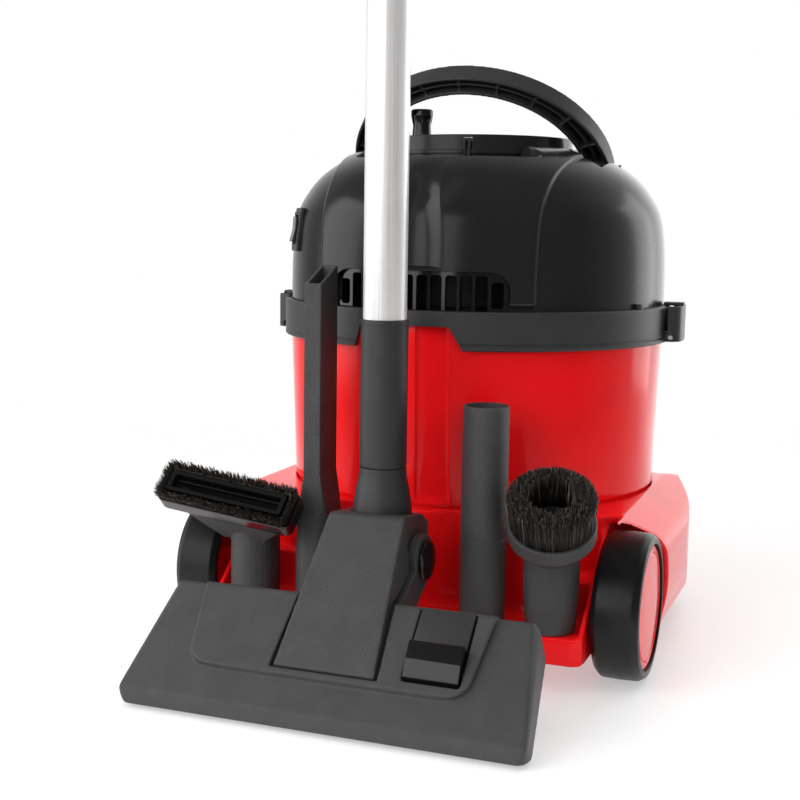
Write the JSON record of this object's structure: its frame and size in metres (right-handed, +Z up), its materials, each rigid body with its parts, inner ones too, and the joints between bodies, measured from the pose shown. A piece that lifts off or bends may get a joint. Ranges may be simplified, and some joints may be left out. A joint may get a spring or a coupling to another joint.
{
  "type": "canister vacuum cleaner",
  "caption": "Drum vacuum cleaner on two large rear wheels and front casters, with a folding handle, rewind crank, parked wand with floor tool, and hand tools stowed at the rear.",
  "frame": {"origin": "on the floor, at the middle of the bounding box's footprint", "axes": "+Z up along the parked wand; -Y is the rear with the wand and the stowed tools; +Y is the front with the hose inlet; +X is the right side seen from the rear"},
  "size_m": [0.382, 0.5408, 1.12],
  "materials": {
    "red_gloss": "glossy bright red moulded plastic",
    "head_black": "semi-gloss black moulded plastic",
    "matt_black": "matt black moulded plastic",
    "tool_grey": "dark grey plastic with a fine spark-eroded texture",
    "rubber_black": "smooth black rubber",
    "chrome_tube": "polished chromed steel tube",
    "steel": "plain steel",
    "bristle": "dark bristle",
    "filter_cloth": "non-woven filter cloth"
  },
  "bodies": {
    "base": {"base_moulding": "red_gloss", "drum": "red_gloss", "rim_band": "matt_black", "left_axle": "steel", "right_axle": "steel", "hose_inlet": "matt_black", "inlet_seal": "rubber_black", "left_clamp_pin": "steel", "right_clamp_pin": "steel", "dust_bag": "filter_cloth", "filter_cone": "filter_cloth"},
    "left_wheel": {"left_wheel_hub": "red_gloss", "left_wheel_tyre": "rubber_black"},
    "right_wheel": {"right_wheel_hub": "red_gloss", "right_wheel_tyre": "rubber_black"},
    "left_caster_swivel": {"left_caster_stem": "steel", "left_caster_fork": "matt_black", "left_caster_axle": "steel"},
    "right_caster_swivel": {"right_caster_stem": "steel", "right_caster_fork": "matt_black", "right_caster_axle": "steel"},
    "left_caster_roller": {"left_caster_wheel": "rubber_black"},
    "right_caster_roller": {"right_caster_wheel": "rubber_black"},
    "left_clip": {"left_clamp": "matt_black"},
    "right_clip": {"right_clamp": "matt_black"},
    "head": {"head_cover": "head_black", "exhaust_grille": "head_black", "head_base_plate": "matt_black", "motor_gasket": "rubber_black", "motor_housing": "matt_black", "reel_housing": "head_black", "left_handle_pin": "steel", "right_handle_pin": "steel", "switch_bezel": "matt_black"},
    "fan": {"motor_fan": "steel"},
    "reel": {"cable_reel": "head_black"},
    "crank": {"crank_knob": "head_black"},
    "handle": {"carry_handle": "matt_black"},
    "switch": {"power_rocker": "head_black"},
    "elbow": {"elbow_housing": "tool_grey", "elbow_neck": "matt_black", "elbow_pin": "head_black"},
    "cuff": {"wand_cuff": "matt_black"},
    "wand_lower": {"wand_lower_tube": "chrome_tube"},
    "wand_upper": {"wand_upper_tube": "chrome_tube"},
    "floor_tool": {"floor_tool_body": "tool_grey", "sole_plate": "steel", "pedal_pin": "steel"},
    "pedal": {"rocker_pedal": "head_black"},
    "front_strip": {"front_bristle_strip": "bristle"},
    "rear_strip": {"rear_bristle_strip": "bristle"},
    "left_roller": {"left_tool_roller": "rubber_black"},
    "right_roller": {"right_tool_roller": "rubber_black"},
    "crevice": {"crevice_tool": "tool_grey"},
    "adapter": {"hose_adapter": "tool_grey"},
    "nozzle": {"upholstery_nozzle": "tool_grey"},
    "nozzle_brush": {"nozzle_brush_frame": "matt_black", "nozzle_bristles": "bristle"},
    "duster": {"dusting_brush": "tool_grey", "dusting_bristles": "bristle"}
  },
  "joints": [
    {"name": "left_wheel_spin", "type": "hinge", "parent": "base", "child": "left_wheel", "pos_m": [-0.171, -0.07361, 0.056], "axis": [1, 0, 0], "continuous": true},
    {"name": "right_wheel_spin", "type": "hinge", "parent": "base", "child": "right_wheel", "pos_m": [0.171, -0.07361, 0.056], "axis": [1, 0, 0], "continuous": true},
    {"name": "left_caster_turn", "type": "hinge", "parent": "base", "child": "left_caster_swivel", "pos_m": [-0.098, 0.17639, 0.045], "axis": [0, 0, 1], "continuous": true},
    {"name": "right_caster_turn", "type": "hinge", "parent": "base", "child": "right_caster_swivel", "pos_m": [0.098, 0.17639, 0.045], "axis": [0, 0, 1], "continuous": true},
    {"name": "left_caster_spin", "type": "hinge", "parent": "left_caster_swivel", "child": "left_caster_roller", "pos_m": [-0.098, 0.16439, 0.02], "axis": [1, 0, 0], "continuous": true},
    {"name": "right_caster_spin", "type": "hinge", "parent": "right_caster_swivel", "child": "right_caster_roller", "pos_m": [0.098, 0.16439, 0.02], "axis": [1, 0, 0], "continuous": true},
    {"name": "left_clip_open", "type": "hinge", "parent": "base", "child": "left_clip", "pos_m": [-0.17098, 0.06193, 0.2483], "axis": [0.061, -0.9981, 0], "range_deg": [0, 70]},
    {"name": "right_clip_open", "type": "hinge", "parent": "base", "child": "right_clip", "pos_m": [0.17098, 0.08285, 0.2483], "axis": [-0.061, 0.9981, 0], "range_deg": [0, 70]},
    {"name": "head_lift", "type": "slide", "parent": "base", "child": "head", "axis": [0, 0, 1], "range_m": [0, 0.12]},
    {"name": "fan_spin", "type": "hinge", "parent": "head", "child": "fan", "pos_m": [0, 0.07239, 0.3], "axis": [0, 0, 1], "continuous": true},
    {"name": "reel_spin", "type": "hinge", "parent": "head", "child": "reel", "pos_m": [0, 0.07239, 0.4], "axis": [0, 0, 1], "continuous": true},
    {"name": "crank_spin", "type": "hinge", "parent": "reel", "child": "crank", "pos_m": [-0.04491, 0.04718, 0.42], "axis": [0, 0, 1], "continuous": true},
    {"name": "handle_fold", "type": "hinge", "parent": "head", "child": "handle", "pos_m": [0, 0.08239, 0.388], "axis": [1, 0, 0], "range_deg": [-45, 15]},
    {"name": "switch_rock", "type": "hinge", "parent": "head", "child": "switch", "pos_m": [-0.12944, -0.01994, 0.333], "axis": [0.5807, -0.8141, 0], "range_deg": [0, 12]},
    {"name": "elbow_undock", "type": "slide", "parent": "base", "child": "elbow", "axis": [0, 0, 1], "range_m": [0, 0.08]},
    {"name": "wand_swivel", "type": "hinge", "parent": "elbow", "child": "cuff", "pos_m": [0, -0.14961, 0.162], "axis": [0, 0, 1], "continuous": true},
    {"name": "lower_tube_pull", "type": "slide", "parent": "cuff", "child": "wand_lower", "axis": [0, 0, 1], "range_m": [0, 0.045]},
    {"name": "upper_tube_pull", "type": "slide", "parent": "wand_lower", "child": "wand_upper", "axis": [0, 0, 1], "range_m": [0, 0.045]},
    {"name": "floor_tool_tilt", "type": "hinge", "parent": "elbow", "child": "floor_tool", "pos_m": [0, -0.15561, 0.096], "axis": [1, 0, 0], "range_deg": [0, 28]},
    {"name": "pedal_rock", "type": "hinge", "parent": "floor_tool", "child": "pedal", "pos_m": [0.0765, -0.23063, 0.04826], "axis": [1, 0, 0], "range_deg": [0, 8]},
    {"name": "front_strip_drop", "type": "slide", "parent": "floor_tool", "child": "front_strip", "axis": [0, 0.5592, -0.829], "range_m": [0, 0.005]},
    {"name": "rear_strip_drop", "type": "slide", "parent": "floor_tool", "child": "rear_strip", "axis": [0, 0.5592, -0.829], "range_m": [0, 0.005]},
    {"name": "left_roller_spin", "type": "hinge", "parent": "floor_tool", "child": "left_roller", "pos_m": [-0.112, -0.20446, 0.04612], "axis": [1, 0, 0], "continuous": true},
    {"name": "right_roller_spin", "type": "hinge", "parent": "floor_tool", "child": "right_roller", "pos_m": [0.112, -0.20446, 0.04612], "axis": [1, 0, 0], "continuous": true},
    {"name": "crevice_lift", "type": "slide", "parent": "base", "child": "crevice", "axis": [0, 0, 1], "range_m": [0, 0.06]},
    {"name": "adapter_lift", "type": "slide", "parent": "base", "child": "adapter", "axis": [0, 0, 1], "range_m": [0, 0.06]},
    {"name": "nozzle_lift", "type": "slide", "parent": "base", "child": "nozzle", "axis": [0, 0, 1], "range_m": [0, 0.06]},
    {"name": "nozzle_brush_pull", "type": "slide", "parent": "nozzle", "child": "nozzle_brush", "axis": [0.0815, -0.7431, 0.6641], "range_m": [0, 0.025]},
    {"name": "duster_lift", "type": "slide", "parent": "base", "child": "duster", "axis": [0, 0, 1], "range_m": [0, 0.06]}
  ],
  "couplings": [
    {"joint": "front_strip_drop", "follows": "pedal_rock", "m_per_rad": 0.0358},
    {"joint": "rear_strip_drop", "follows": "pedal_rock", "m_per_rad": 0.0358}
  ]
}
